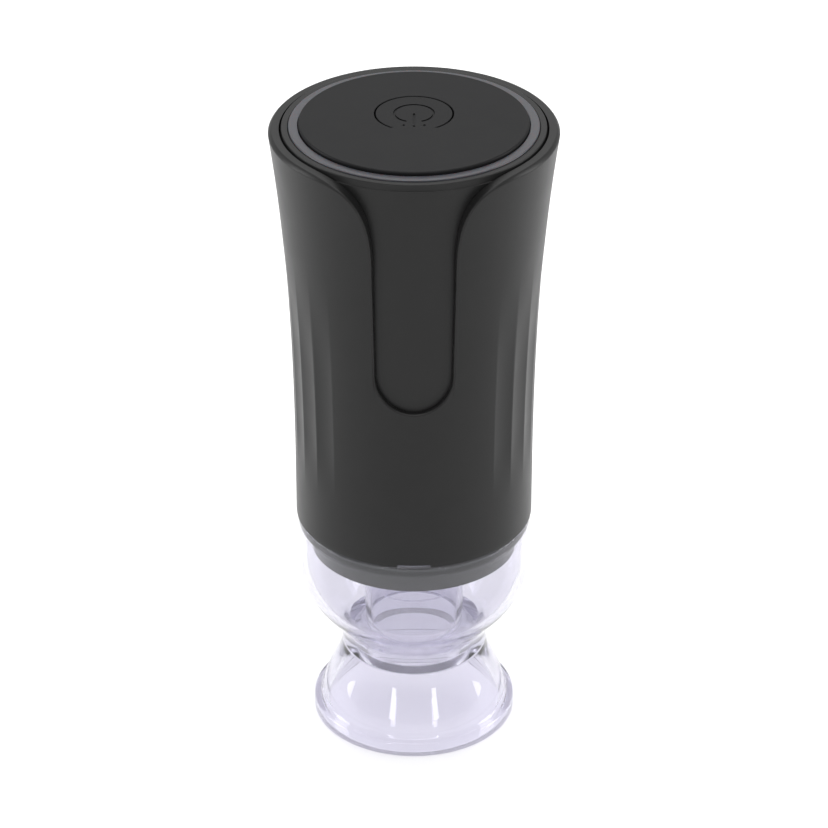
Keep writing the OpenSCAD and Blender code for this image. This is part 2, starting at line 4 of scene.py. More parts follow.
import bpy
import bmesh
import numpy as np
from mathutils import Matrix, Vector


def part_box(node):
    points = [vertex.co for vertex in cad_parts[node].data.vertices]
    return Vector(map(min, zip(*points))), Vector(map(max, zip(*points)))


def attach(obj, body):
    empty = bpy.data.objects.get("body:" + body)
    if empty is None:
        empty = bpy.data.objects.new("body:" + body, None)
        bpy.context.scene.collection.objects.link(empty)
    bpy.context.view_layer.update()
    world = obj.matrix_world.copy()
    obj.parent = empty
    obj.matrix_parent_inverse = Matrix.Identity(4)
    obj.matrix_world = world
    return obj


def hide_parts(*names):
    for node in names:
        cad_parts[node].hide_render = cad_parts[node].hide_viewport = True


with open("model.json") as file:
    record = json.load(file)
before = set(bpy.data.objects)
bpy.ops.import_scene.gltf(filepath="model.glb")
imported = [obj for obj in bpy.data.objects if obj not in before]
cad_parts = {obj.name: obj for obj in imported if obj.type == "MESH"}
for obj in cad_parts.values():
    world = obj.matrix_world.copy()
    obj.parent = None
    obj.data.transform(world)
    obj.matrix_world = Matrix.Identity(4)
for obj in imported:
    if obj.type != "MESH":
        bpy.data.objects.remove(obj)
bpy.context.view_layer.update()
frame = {"nodes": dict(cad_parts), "record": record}
NODES = frame["nodes"]

MM = 0.001
TAU = 2 * np.pi


def box_mm(node):
    low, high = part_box(node)
    return np.array(low) / MM, np.array(high) / MM


# Levels of the body and the collar, in millimetres
BODY_Z = box_mm("outer_shell")[0][2]
RIM_Z = box_mm("outer_shell")[1][2]
LID_Z = box_mm("top_cap")[1][2]
LID_LOW = box_mm("top_cap")[0][2]
LID_R = box_mm("top_cap")[1][0]
SLEEVE_TOP = box_mm("inner_sleeve")[1][2]
RING_LOW, RING_TOP = box_mm("light_ring")[0][2], box_mm("light_ring")[1][2]
SPIGOT_LOW = box_mm("base_collar")[0][2]

# The button in the lid: its centre, how far in front of it the hinge line runs, and its slot
BUTTON_Y = 4.5
HINGE_REACH = 8.9
SLOT_R = 10.9
SLOT_WIDTH = 0.42
BUTTON_EDGE = 0.18
HINGE_LEAN = 0.12


# ---- Mesh making ----

def make_piece(name, verts, faces, sharp=32.0):
    """One closed piece from points in millimetres: doubles merged, faces turned outwards, shaded smooth
    except over edges sharper than the given angle."""
    mesh = bpy.data.meshes.new(name)
    mesh.from_pydata((np.asarray(verts) * MM).tolist(), [], faces)
    work = bmesh.new()
    work.from_mesh(mesh)
    bmesh.ops.remove_doubles(work, verts=work.verts, dist=1e-7)
    bmesh.ops.recalc_face_normals(work, faces=work.faces)
    work.to_mesh(mesh)
    work.free()
    return place_piece(name, mesh, sharp)


def place_piece(name, mesh, sharp=32.0):
    mesh.shade_smooth()
    mesh.set_sharp_from_angle(angle=np.radians(sharp))
    piece = bpy.data.objects.new(name, mesh)
    bpy.context.scene.collection.objects.link(piece)
    weigh = piece.modifiers.new("even_normals", "WEIGHTED_NORMAL")
    weigh.keep_sharp = True
    return piece


def loop_faces(rows, columns, first=0, close_rows=True):
    """Quads of a grid of rows x columns points that closes on itself along the columns, and along the
    rows too when close_rows is set."""
    r = np.arange(rows if close_rows else rows - 1)[:, None]
    c = np.arange(columns)[None, :]
    r1, c1 = (r + 1) % rows, (c + 1) % columns
    quads = np.stack([r * columns + c, r * columns + c1, r1 * columns + c1, r1 * columns + c], -1)
    return (quads.reshape(-1, 4) + first).tolist()


def lathe(profile, columns=256):
    """Revolves a closed (radius, height) outline about the Z axis: point (r cos a, r sin a, z)."""
    r, z = np.asarray(profile, float).T
    a = np.arange(columns) * TAU / columns
    heights = np.repeat(z[:, None], columns, 1)
    verts = np.stack([r[:, None] * np.cos(a), r[:, None] * np.sin(a), heights], -1)
    return verts.reshape(-1, 3), loop_faces(len(r), columns)


def rounded(corners, steps=6):
    """Rounds the corners of a closed outline. Each corner is (x, y, radius); the arc touches both sides,
    and a support point each side of it keeps the flats flat."""
    out = []
    count = len(corners)
    for i, (x, y, radius) in enumerate(corners):
        here = np.array([x, y], float)
        if radius <= 0:
            out.append(here)
            continue
        before = np.array(corners[i - 1][:2], float) - here
        after = np.array(corners[(i + 1) % count][:2], float) - here
        reach_b, reach_a = np.linalg.norm(before), np.linalg.norm(after)
        before, after = before / reach_b, after / reach_a
        half = 0.5 * np.arccos(np.clip(before @ after, -1, 1))
        cut = radius / np.tan(half)
        centre = here + (before + after) / np.linalg.norm(before + after) * radius / np.sin(half)
        start, end = here + before * cut - centre, here + after * cut - centre
        sweep = np.arccos(np.clip(start @ end / radius ** 2, -1, 1))
        t = np.linspace(0, 1, steps + 1)[:, None]
        arc = centre + (np.sin((1 - t) * sweep) * start + np.sin(t * sweep) * end) / np.sin(sweep)
        pad = 0.35 * radius
        if cut + pad < reach_b * 0.5:
            out.append(here + before * (cut + pad))
        out.extend(arc)
        if cut + pad < reach_a * 0.5:
            out.append(here + after * (cut + pad))
    return np.array(out)


def bezier(p0, p1, p2, p3, n):
    """Cubic Bezier points, ends included."""
    t = np.linspace(0, 1, n + 1)[:, None]
    p = [np.array(q, float) for q in (p0, p1, p2, p3)]
    return ((1 - t) ** 3 * p[0] + 3 * (1 - t) ** 2 * t * p[1]
            + 3 * (1 - t) * t ** 2 * p[2] + t ** 3 * p[3])


def prism(outline, low, high, turn=None):
    """A straight prism: the outline (x, y) from height low to high, turned by a 3 x 3 matrix if given."""
    n = len(outline)
    verts = np.vstack([np.column_stack([outline, np.full(n, h)]) for h in (low, high)])
    if turn is not None:
        verts = verts @ np.asarray(turn, float).T
    faces = loop_faces(2, n, close_rows=False) + [list(range(n))[::-1], list(range(n, 2 * n))]
    return verts, faces


def circle(x, y, r, n=48):
    """A circle's points, anticlockwise."""
    a = np.arange(n) * TAU / n
    return np.column_stack([x + r * np.cos(a), y + r * np.sin(a)])


def cut_away(piece, cutters):
    """Subtracts closed solids from a piece and keeps the result as its mesh."""
    tools = []
    for i, (verts, faces) in enumerate(cutters):
        tool = make_piece(f"cutter_{i}", verts, faces)
        tools.append(tool)
        cut = piece.modifiers.new("cut", "BOOLEAN")
        cut.object = tool
        cut.solver = "EXACT"
        piece.modifiers.move(len(piece.modifiers) - 1, 0)
    for normals in [m for m in piece.modifiers if m.type == "WEIGHTED_NORMAL"]:
        piece.modifiers.remove(normals)
    graph = bpy.context.evaluated_depsgraph_get()
    mesh = bpy.data.meshes.new_from_object(piece.evaluated_get(graph))
    name = piece.name
    for thing in tools + [piece]:
        bpy.data.objects.remove(thing)
    done = place_piece(name, mesh)
    done.name = name
    return done


def stadium(width, height, n=24):
    """Outline of a slot with round ends, width along X and height along Y."""
    a = np.linspace(-np.pi / 2, np.pi / 2, n)
    half = (width - height) / 2
    right = np.column_stack([half + height / 2 * np.cos(a), height / 2 * np.sin(a)])
    return np.vstack([right, -right])


# A turn that lays a prism along +Y with its outline's Y along Z
ALONG_Y = [[-1, 0, 0], [0, 0, 1], [0, 1, 0]]
SOCKET_Z = 83.0
SOCKET_CUT_Y = (20, 45)


def socket_cut(width, height):
    """A round-ended opening for the charging socket, cut through the rear wall."""
    verts, faces = prism(stadium(width, height), *SOCKET_CUT_Y, ALONG_Y)
    return verts + [0, 0, SOCKET_Z], faces


# ---- Outer shell ----

# Radius at the lower edge, how far it flares at the rim, and the power of the flare
SHELL_R, SHELL_FLARE, SHELL_POWER = 33.7, 6.2, 2.77
SLEEVE_R, SLEEVE_FLARE, SLEEVE_POWER = 32.1, 4.6, 2.5
SLEEVE_GAP = 0.1

# Flutes: depth, then first ridge and pitch in degrees from the front, and how many on each side
FLUTE_DEPTH = 0.42
FLUTE_START, FLUTE_PITCH, FLUTE_COUNT = 41.0, 12.25, 8
FLUTE_LOW, FLUTE_LOW_FADE = 82, 20
FLUTE_HIGH, FLUTE_HIGH_FADE = 157, 36

# Window: radius and centre height of its round bottom, half width and height where the shoulder starts
WINDOW_R, WINDOW_Z = 10.9, 128.2
SHOULDER_X, SHOULDER_Z = 11.5, 158

# Edges of the shell: the window's and the rim's rounding, and the lip and tab notch at the bottom
WINDOW_FILLET, RIM_FILLET = 0.42, 1.1
FILLET_POWER = 1.6
FILLET_BLEND = 16
BOTTOM_LIP = 0.45
TAB_HALF, NOTCH_FADE, NOTCH_DEPTH = 4.85, 0.25, 0.7


def rise(z):
    """Height as a share of the shell's, 0 at its lower edge and 1 at its rim."""
    return np.clip((z - BODY_Z) / (RIM_Z - BODY_Z), 0, 1)


def shell_r(z):
    """The shell's outer radius."""
    return SHELL_R + SHELL_FLARE * rise(z) ** SHELL_POWER


def sleeve_r(z):
    """The inner sleeve's outer radius."""
    return SLEEVE_R + SLEEVE_FLARE * rise(z) ** SLEEVE_POWER


def ease(t):
    """A smooth step from 0 to 1."""
    t = np.clip(t, 0, 1)
    return t * t * (3 - 2 * t)


def flute(theta, z):
    """Depth of the grip's flutes: in each pitch a parabola that is deepest in the middle and meets its
    neighbour in a ridge, faded out towards the rim and the lower edge."""
    turn = (np.degrees(np.abs(theta)) - FLUTE_START) / FLUTE_PITCH
    inside = (turn > 0) & (turn < FLUTE_COUNT)
    across = 2 * (turn - np.floor(turn)) - 1
    along = ease((z - FLUTE_LOW) / FLUTE_LOW_FADE) * ease((FLUTE_HIGH - z) / FLUTE_HIGH_FADE)
    return np.where(inside, FLUTE_DEPTH * (1 - across ** 2) * along, 0)


def window_edge():
    """Right half of the window's edge as (angle from the front, height, way walked): a quarter circle at
    the bottom, a straight side, and a superelliptic shoulder that runs into the rim."""
    a = np.linspace(0, np.pi / 2, 60)
    end = np.column_stack([WINDOW_R * np.sin(a), WINDOW_Z - WINDOW_R * np.cos(a)])
    side = np.column_stack([np.linspace(WINDOW_R, SHOULDER_X, 30),
                            np.linspace(WINDOW_Z, SHOULDER_Z, 30)])[1:-1]
    a = np.linspace(0, np.pi / 2, 400)
    reach, climb, power = 21.5, 30, 2 / 3
    shoulder = np.column_stack([SHOULDER_X + reach - reach * np.cos(a) ** power,
                                SHOULDER_Z + climb * np.sin(a) ** power])
    x, z = np.vstack([end, side, shoulder]).T
    way = np.concatenate([[0], np.cumsum(np.hypot(np.diff(x), np.diff(z)))])
    even = np.linspace(0, way[-1], 190)
    x, z = np.interp(even, way, x), np.interp(even, way, z)
    return np.arcsin(x / shell_r(z)), z, even


def outer_shell():
    """The shell as one closed grid. Its columns run from the lower edge up to the window's edge or the
    rim, and its rows go up the outside, round the edge, and down the inside. A point of a row lies at
    (radius sin angle, -radius cos angle, height)."""
    edge_a, edge_z, way = window_edge()
    rim_a = np.radians(np.arange(np.degrees(edge_a[-1]), 180, FLUTE_PITCH / 20))[1:]
    rim_a = np.append(rim_a[rim_a < np.pi - 0.004], np.pi)
    top_a = np.concatenate([edge_a, rim_a])
    top_z = np.concatenate([edge_z, np.full(len(rim_a), RIM_Z)])
    low_a = np.concatenate([edge_a[-1] * way / way[-1], rim_a])
    # unit direction on the surface that leads away from the edge
    da = np.gradient(top_a) * shell_r(top_z)
    dz = np.gradient(top_z)
    size = np.hypot(da, dz)
    out_a, out_z = dz / size, -da / size
    out_a[0], out_z[0] = 0, -1
    out_a[-1], out_z[-1] = 0, -1
    # the window's edge is crisper than the rim's
    near_rim = ease((way - way[-1] + FILLET_BLEND) / FILLET_BLEND)
    blend = np.concatenate([near_rim, np.ones(len(rim_a))])
    fillet = WINDOW_FILLET + (RIM_FILLET - WINDOW_FILLET) * blend
    in_front = np.cos(low_a) > 0
    notch = ease((TAB_HALF - np.abs(SHELL_R * np.sin(low_a))) / NOTCH_FADE) * in_front
    foot_z = BODY_Z + NOTCH_DEPTH * notch
    rows = []

    def row(a, z, r):
        rows.append(np.stack([a, np.broadcast_to(z, a.shape), np.broadcast_to(r, a.shape)], -1))

    def offset(w):
        return top_a + w * out_a / shell_r(top_z), top_z + w * out_z

    for f in np.linspace(0, np.pi / 2, 5):
        row(low_a, foot_z + BOTTOM_LIP * (1 - np.sin(f)), shell_r(foot_z) - BOTTOM_LIP * (1 - np.cos(f)))
    rows = rows[::-1]
    start_z = foot_z + BOTTOM_LIP
    edge = offset(fillet)
    for t in np.concatenate([np.linspace(0, 0.975, 84)[1:], [0.988, 0.996]]):
        a, z = low_a + t * (edge[0] - low_a), start_z + t * (edge[1] - start_z)
        row(a, z, shell_r(z) - flute(a, z))
    for f in np.linspace(0, np.pi / 2, 9):
        a, z = offset(fillet * (1 - np.sin(f) ** FILLET_POWER))
        row(a, z, shell_r(z) - fillet * (1 - np.cos(f) ** FILLET_POWER))
    wall = shell_r(top_z) - sleeve_r(top_z) - SLEEVE_GAP
    for t in (0.1, 0.5, 0.85, 1.0):
        row(top_a, top_z, shell_r(top_z) - fillet - t * (wall - fillet))
    for t in np.linspace(0, 1, 14)[1:]:
        a, z = top_a + t * (low_a - top_a), top_z + t * (foot_z - top_z)
        row(a, z, sleeve_r(z) + SLEEVE_GAP)
    grid = np.array(rows)
    mirror = grid[:, -2:0:-1].copy()
    mirror[..., 0] *= -1
    a, z, r = np.moveaxis(np.concatenate([grid, mirror], 1), -1, 0)
    verts = np.stack([r * np.sin(a), -r * np.cos(a), z], -1)
    return verts.reshape(-1, 3), loop_faces(*a.shape)


shell = make_piece("moulded_shell", *outer_shell(), sharp=40)
shell = cut_away(shell, [socket_cut(10.4, 4.6)])

# ---- Inner sleeve ----
# A turned wall whose rim steps in from the shell, which leaves the dark groove between them.
SLEEVE_WALL = 1.6
z = np.linspace(BODY_Z, RIM_Z - 1.5, 60)
sleeve_out = np.column_stack([sleeve_r(z), z])
sleeve_top = rounded([
    (36.5, RIM_Z - 1.4, 0), (36.2, RIM_Z - 1.3, 0), (36.2, SLEEVE_TOP, 0.3), (34.35, SLEEVE_TOP, 0.25),
    (34.35, RING_LOW, 0), (33.2, RING_LOW, 0), (33.2, RING_LOW - 1.2, 0)])
z = np.linspace(RING_LOW - 3, BODY_Z, 40)
sleeve_in = np.column_stack([sleeve_r(z) - SLEEVE_WALL, z])
sleeve = make_piece("moulded_sleeve", *lathe(np.vstack([sleeve_out, sleeve_top, sleeve_in])))
sleeve = cut_away(sleeve, [socket_cut(10, 4.2)])

# ---- Light ring ----
# A flat turned ring, its outer edge and the edge beside the lid a little rounded.
ring = make_piece("light_diffuser", *lathe(rounded([
    (28.5, RING_LOW, 0), (34.25, RING_LOW, 0.1), (34.25, RING_TOP, 0.35),
    (LID_R + 0.2, RING_TOP, 0.15), (LID_R + 0.2, LID_LOW, 0), (28.5, LID_LOW, 0)])))


# ---- Lid and button ----

def plan_angles(r, reach, arc_n=150, chord_n=24):
    """Angles about the button's centre that take in both corners of its outline."""
    half = np.arccos(reach / r)
    chord = np.linspace(-np.pi / 2 - half, -np.pi / 2 + half, chord_n + 1)[:-1]
    return np.append(chord, np.linspace(-np.pi / 2 + half, 1.5 * np.pi - half, arc_n + 1)[:-1])


def plan_radius(phi, r, reach):
    """Distance from the button's centre to its outline: a circle cut off by the hinge line."""
    down = np.maximum(-np.sin(phi), 1e-6)
    return np.minimum(r, reach / down)


def lid():
    """The lid disc round the button's opening: rows run up the opening's wall, over its edge, out across
    the top, over the rim and back underneath. The edge is rounded everywhere but on the hinge line."""
    phi = plan_angles(SLOT_R, HINGE_REACH)
    ray = np.stack([np.cos(phi), np.sin(phi)], -1)
    centre = np.array([0, BUTTON_Y])
    hole = plan_radius(phi, SLOT_R, HINGE_REACH)
    on_arc = ease((hole - (SLOT_R - 0.02)) / 0.02)
    soft = BUTTON_EDGE * on_arc
    along = ray @ centre
    reach = -along + np.sqrt(along ** 2 - centre @ centre + LID_R ** 2)
    rim = centre + ray * reach[:, None]
    rim /= np.linalg.norm(rim, axis=1)[:, None]
    rows = []

    def row(xy, z):
        rows.append(np.column_stack([xy, np.broadcast_to(z, len(phi))]))

    def inner(extra):
        return centre + ray * (hole + extra)[:, None]

    row(inner(0), LID_LOW)
    for f in np.linspace(0, np.pi / 2, 6):
        row(inner(soft * (1 - np.cos(f))), LID_Z - soft * (1 - np.sin(f)))
    edge = 0.5
    near, far = inner(soft + 0.1), rim * (LID_R - edge)
    for t in (0, 0.15, 0.4, 0.7, 0.95, 0.99):
        row(near + t * (far - near), LID_Z)
    for f in np.linspace(0, np.pi / 2, 8):
        row(rim * (LID_R - edge * (1 - np.sin(f))), LID_Z - edge * (1 - np.cos(f)))
    row(rim * LID_R, LID_LOW)
    return np.array(rows).reshape(-1, 3), loop_faces(len(rows), len(phi))


lid_piece = make_piece("lid_disc", *lid())


def button_blank():
    """The button: its outline lifted from its underside, with a small rounding at the top that fades out
    on the hinge line, closed by two flat faces."""
    r = SLOT_R - SLOT_WIDTH
    phi = plan_angles(r, HINGE_REACH)
    ray = np.stack([np.cos(phi), np.sin(phi)], -1)
    reach = plan_radius(phi, r, HINGE_REACH)
    soft = BUTTON_EDGE * ease((reach - (r - 0.02)) / 0.02)
    under = box_mm("tact_switch")[1][2] + 2.0
    # the hinge side leans back under the lid, so that it has room to turn
    low_reach = reach - HINGE_LEAN * (reach < r - 0.02)
    rows = [np.column_stack([ray * low_reach[:, None], np.full(len(phi), under)])]
    for f in np.linspace(0, np.pi / 2, 6):
        rows.append(np.column_stack([ray * (reach - soft * (1 - np.cos(f)))[:, None],
                                     LID_Z - soft * (1 - np.sin(f))]))
    verts = np.vstack(rows) + [0, BUTTON_Y, 0]
    n, m = len(phi), len(rows)
    faces = loop_faces(m, n, close_rows=False)
    return verts, faces + [list(range(n))[::-1], list(range((m - 1) * n, m * n))]


def symbol_cutters():
    """The power mark and three dots: a ring open to the front, a bar through the gap, round pits."""
    groove_depth, outer_r, inner_r, dot_r = 0.3, 5.72, 5.08, 0.4
    low, high = LID_Z - groove_depth, LID_Z + 1
    gap = np.radians(22)
    a = np.linspace(gap - np.pi / 2, 1.5 * np.pi - gap, 72)
    arc = np.column_stack([np.cos(a), np.sin(a)])
    ring_plan = np.vstack([outer_r * arc, inner_r * arc[::-1]]) + [0, BUTTON_Y]
    bar = rounded([(-0.33, -2.3, 0.3), (0.33, -2.3, 0.3), (0.33, 4.4, 0.3), (-0.33, 4.4, 0.3)])
    dots = [circle(x, y, dot_r, 24) for x, y in ((-2.8, -2.9), (0, -3.5), (2.8, -2.9))]
    return [prism(plan, low, high) for plan in [ring_plan, bar] + dots]


button = cut_away(make_piece("press_button", *button_blank()), symbol_cutters())

# ---- Grey spigot under the body ----
# A turned skirt and floor, with four screw pockets in the floor and a clear hole through each.
FLOOR_Z = 66.5
LUG_R, POCKET_R, SCREW_R = 24.5, 2.5, 1.3
spigot = make_piece("spigot", *lathe(rounded([
    (6.5, FLOOR_Z, 0.3), (27.0, FLOOR_Z, 0.4), (27.0, SPIGOT_LOW, 0.35), (29.1, SPIGOT_LOW, 0.45),
    (29.1, BODY_Z + 0.2, 0), (30.3, BODY_Z + 0.2, 0.2), (30.3, 68.5, 0.2), (6.5, 68.5, 0.2)])))
LUGS = [(LUG_R * np.cos(a), LUG_R * np.sin(a)) for a in np.radians([45, 135, 225, 315])]
spigot = cut_away(spigot, [prism(circle(x, y, POCKET_R), FLOOR_Z - 1, FLOOR_Z + 1.1) for x, y in LUGS]
                  + [prism(circle(x, y, SCREW_R, 32), FLOOR_Z, 70) for x, y in LUGS])


# ---- Clear collar ----

def collar_profile():
    """Closed outline of the clear moulding, as (radius, height): rim, bowl, waist, foot, foot hollow,
    stop, bore, tube, valley, the bowl's inside and the collet that grips the spigot."""
    rim, low = 67.0, 63.8
    outer = np.vstack([
        rounded([(29.18, rim, 0), (33.4, rim, 0.4), (33.4, low, 0.35), (33.2, low - 0.4, 0),
                 (30, 40, 0)])[1:-2],
        bezier((33.2, 53), (33.2, 35.4), (21.05, 35.4), (21.05, 25.4), 40),
        bezier((21.05, 24.6), (21.05, 18), (25, 14), (26.5, 7.5), 26)])
    foot = rounded([(26.5, 7.5, 0), (27.3, 5.0, 1.2), (29.2, 4.3, 0.9), (29.4, 0, 0.8), (26.2, 0, 0.5),
                    (24.4, 3.2, 0.8), (24.3, 3.6, 0)])[1:-1]
    hollow = bezier((24.35, 3.6), (23.2, 9), (19.2, 15), (18.8, 21.2), 26)
    stop = rounded([(18.8, 21.0, 0), (18.8, 22, 0.5), (12.7, 22, 0.4), (12.7, 43.4, 0.1),
                    (12.3, 43.6, 0.1), (12.3, 66.2, 0.3), (14.2, 66.2, 0.4), (14.2, 29, 1.8),
                    (19.0, 29.2, 0)], 8)[1:-1]
    bowl = bezier((19.2, 29.3), (19.6, 35.5), (30.8, 37.5), (30.8, 53), 36)
    collet = rounded([(30.8, 53, 0), (30.8, low - 0.6, 0.5), (29.18, low, 0.3), (29.18, rim, 0.15),
                      (33.4, rim, 0)])[1:-1]
    return np.vstack([outer, foot, hollow, stop, bowl, collet])


def collar_parts():
    """The turned collar, and the tab on its rim that fills the shell's notch: a small rounded section
    carried round an arc at the front."""
    verts, faces = lathe(collar_profile(), 320)
    half_width, arc_r = 4.55, 33
    a = np.linspace(-half_width / arc_r, half_width / arc_r, 17) - np.pi / 2
    section = rounded([(32.2, 66.8, 0), (33.45, 66.8, 0), (33.45, 67.85, 0.25), (32.2, 67.85, 0.1)], 3)
    r, z = section[:, 0][:, None], section[:, 1][:, None]
    tab = np.stack([r * np.cos(a), r * np.sin(a), z + 0 * a], -1)
    n, m = tab.shape[:2]
    i, j = np.arange(n)[:, None], np.arange(m - 1)[None, :]
    next_i = (i + 1) % n
    quads = np.stack([i * m + j, i * m + j + 1, next_i * m + j + 1, next_i * m + j], -1)
    first = len(verts)
    tab_faces = (quads.reshape(-1, 4) + first).tolist()
    ends = [[first + k * m for k in range(n)], [first + k * m + m - 1 for k in range(n)][::-1]]
    return np.vstack([verts, tab.reshape(-1, 3)]), faces + tab_faces + ends


collar = make_piece("clear_collar", *collar_parts(), sharp=50)


# ---- Worm ----

def worm():
    """The worm's wire: a circle of 20 points carried along a centre line that runs down the axis, swings
    out to the coil's radius and winds right-handed at a 9.5 mm lead, tapering to a point."""
    top, tip, lead, coil, wire = 132.0, 46.0, 9.5, 3.1, 1.4
    shank, swing, shank_extra = 114, 7, 0.42
    z = np.concatenate([np.linspace(top, shank + 0.5, 8), np.arange(shank, tip, -lead / 64),
                        [tip + 0.02]])
    r = coil * ease((shank - z) / swing)
    a = TAU * (z - tip) / lead
    line = np.stack([r * np.cos(a), r * np.sin(a), z], -1)
    run = np.gradient(line, axis=0)
    run /= np.linalg.norm(run, axis=1)[:, None]
    out = np.stack([np.cos(a), np.sin(a), 0 * a], -1)
    out -= (out * run).sum(1)[:, None] * run
    out /= np.linalg.norm(out, axis=1)[:, None]
    side = np.cross(run, out)
    # the last nine tenths of a turn taper to the point
    taper = 0.05 + 0.95 * (np.maximum(0, z - tip) / (0.9 * lead)) ** 0.7
    thick = wire * np.minimum(1, taper)
    thick = thick + shank_extra * ease((z - (shank - 1)) / 2)
    k = np.arange(20) * TAU / 20
    ring_points = np.cos(k)[:, None] * out[:, None] + np.sin(k)[:, None] * side[:, None]
    verts = (line[:, None] + thick[:, None, None] * ring_points).reshape(-1, 3)
    n = len(z)
    faces = loop_faces(n, 20, close_rows=False)
    return verts, faces + [list(range(20)), list(range((n - 1) * 20, n * 20))[::-1]]


worm_piece = make_piece("polished_worm", *worm(), sharp=60)


# ---- Finishes ----

def linear(code):
    """A linear colour from an sRGB hex code."""
    c = np.array([int(code[i:i + 2], 16) for i in (1, 3, 5)]) / 255
    c = np.where(c <= 0.04045, c / 12.92, ((c + 0.055) / 1.055) ** 2.4)
    return (*c.tolist(), 1.0)


def add(tree, kind, inputs=None, **settings):
    """Adds one node, sets its properties, and sets or links its inputs by name or number."""
    node = tree.nodes.new(kind)
    for key, value in settings.items():
        setattr(node, key, value)
    for key, value in (inputs or {}).items():
        if isinstance(value, bpy.types.NodeSocket):
            tree.links.new(value, node.inputs[key])
        else:
            node.inputs[key].default_value = value
    return node


def start_material(name):
    """A new material, its node tree, its surface shader and its Object coordinates."""
    made = bpy.data.materials.new(name)
    made.use_nodes = True
    tree = made.node_tree
    surface = tree.nodes["Principled BSDF"]
    place = add(tree, "ShaderNodeTexCoord").outputs["Object"]
    return made, tree, surface, place


def per_mm(size):
    """Noise scale that gives features of about this many millimetres."""
    return 1 / (size * MM)


def moulded(name, shade, light, rough, grain=0.35, relief=0.012, ior=1.5, level=0.5, cloud=9):
    """Moulded plastic: the tool's eroded grain gives the bump, and slow clouds vary tone and gloss.
    Grain, relief and cloud are sizes in millimetres."""
    made, tree, surface, place = start_material(name)
    clouds = add(tree, "ShaderNodeTexNoise", {"Vector": place, "Scale": per_mm(cloud), "Detail": 3.0})
    fine = add(tree, "ShaderNodeTexNoise", {"Vector": place, "Scale": per_mm(grain), "Detail": 2.0})
    tone = add(tree, "ShaderNodeMix", {0: clouds.outputs["Fac"], 6: linear(shade), 7: linear(light)},
               data_type="RGBA")
    gloss = add(tree, "ShaderNodeMapRange", {"Value": clouds.outputs["Fac"], "To Min": rough - 0.04,
                                             "To Max": rough + 0.05})
    bump = add(tree, "ShaderNodeBump", {"Height": fine.outputs["Fac"], "Strength": 0.35,
                                        "Distance": relief * MM})
    tree.links.new(tone.outputs[2], surface.inputs["Base Color"])
    tree.links.new(gloss.outputs["Result"], surface.inputs["Roughness"])
    tree.links.new(bump.outputs["Normal"], surface.inputs["Normal"])
    surface.inputs["IOR"].default_value = ior
    surface.inputs["Specular IOR Level"].default_value = level
    return made


def metal(name, shade, light, rough, stretch=(1, 1, 12), size=0.4, relief=0.006):
    """Bare or plated metal: streaks along the direction it was worked vary its tone and gloss. Size and
    relief are in millimetres, and stretch says how much longer the streaks are along X, Y and Z."""
    made, tree, surface, place = start_material(name)
    lay = add(tree, "ShaderNodeMapping", {"Vector": place, "Scale": [1 / s for s in stretch]})
    streaks = add(tree, "ShaderNodeTexNoise", {"Vector": lay.outputs["Vector"], "Scale": per_mm(size),
                                               "Detail": 4.0})
    tone = add(tree, "ShaderNodeMix", {0: streaks.outputs["Fac"], 6: linear(shade), 7: linear(light)},
               data_type="RGBA")
    gloss = add(tree, "ShaderNodeMapRange", {"Value": streaks.outputs["Fac"], "To Min": rough - 0.06,
                                             "To Max": rough + 0.08})
    bump = add(tree, "ShaderNodeBump", {"Height": streaks.outputs["Fac"], "Strength": 0.3,
                                        "Distance": relief * MM})
    tree.links.new(tone.outputs[2], surface.inputs["Base Color"])
    tree.links.new(gloss.outputs["Result"], surface.inputs["Roughness"])
    tree.links.new(bump.outputs["Normal"], surface.inputs["Normal"])
    surface.inputs["Metallic"].default_value = 1.0
    return made


def clear_polycarbonate():
    """Injection-moulded polycarbonate from a polished tool: clear, with a blued resin's violet cast that
    deepens with thickness, slow flow ripples from the mould, and a sharp gloss. It bends light less
    than the bare resin does, which keeps the far wall readable through the near one."""
    made, tree, surface, place = start_material("clear_polycarbonate_moulded")
    ripple = add(tree, "ShaderNodeTexNoise", {"Vector": place, "Scale": per_mm(7), "Detail": 1.0})
    tone = add(tree, "ShaderNodeMix", {0: ripple.outputs["Fac"], 6: linear("#E6E5EC"),
                                       7: linear("#EAE9EF")}, data_type="RGBA")
    gloss = add(tree, "ShaderNodeMapRange", {"Value": ripple.outputs["Fac"], "To Min": 0.0,
                                             "To Max": 0.05})
    bump = add(tree, "ShaderNodeBump", {"Height": ripple.outputs["Fac"], "Strength": 0.25,
                                        "Distance": 0.05 * MM})
    tree.links.new(tone.outputs[2], surface.inputs["Base Color"])
    tree.links.new(gloss.outputs["Result"], surface.inputs["Roughness"])
    tree.links.new(bump.outputs["Normal"], surface.inputs["Normal"])
    surface.inputs["Transmission Weight"].default_value = 1.0
    surface.inputs["IOR"].default_value = 1.2
    surface.inputs["Coat Weight"].default_value = 0.6
    surface.inputs["Coat Roughness"].default_value = 0.03
    output = tree.nodes["Material Output"]
    # colour taken off on the way through, per metre
    depth = add(tree, "ShaderNodeVolumeAbsorption", {"Color": (0.58, 0.57, 0.70, 1), "Density": 34.0})
    tree.links.new(depth.outputs["Volume"], output.inputs["Volume"])
    # lamps reach what stands inside and below the clear wall
    lamp_ray = add(tree, "ShaderNodeLightPath").outputs["Is Shadow Ray"]
    let_through = add(tree, "ShaderNodeBsdfTransparent", {"Color": linear("#F6F5F9")})
    both = add(tree, "ShaderNodeMixShader", {0: lamp_ray, 1: surface.outputs["BSDF"],
                                             2: let_through.outputs["BSDF"]})
    tree.links.new(both.outputs["Shader"], output.inputs["Surface"])
    return made


